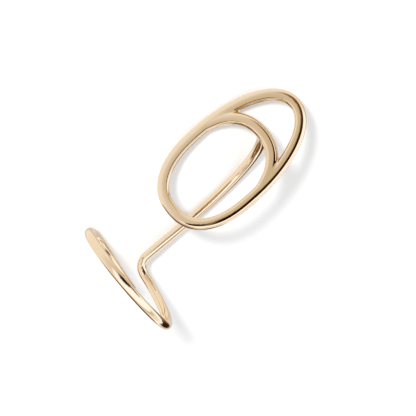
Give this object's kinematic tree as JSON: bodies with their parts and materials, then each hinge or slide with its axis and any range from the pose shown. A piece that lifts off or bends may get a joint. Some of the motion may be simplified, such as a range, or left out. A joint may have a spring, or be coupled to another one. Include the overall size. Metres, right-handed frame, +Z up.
{
  "type": "nail ring",
  "caption": "Open ring band for the finger's last joint, with a stem that curls round the fingertip to an oval frame over the nail, crossed by a curved smile line.",
  "frame": {"origin": "on the floor, under the middle of the box that holds the ring as it lies on its left side", "axes": "+X the way the finger points, dipping to the floor by 6.4 degrees; +Z up from the floor; the nail side faces +Y and up, the finger's pad faces -Y and down"},
  "size_m": [0.0346, 0.017, 0.0169],
  "materials": {
    "gold": "polished pale gold plating"
  },
  "bodies": {
    "root": {"nail_ring": "gold"}
  },
  "joints": []
}
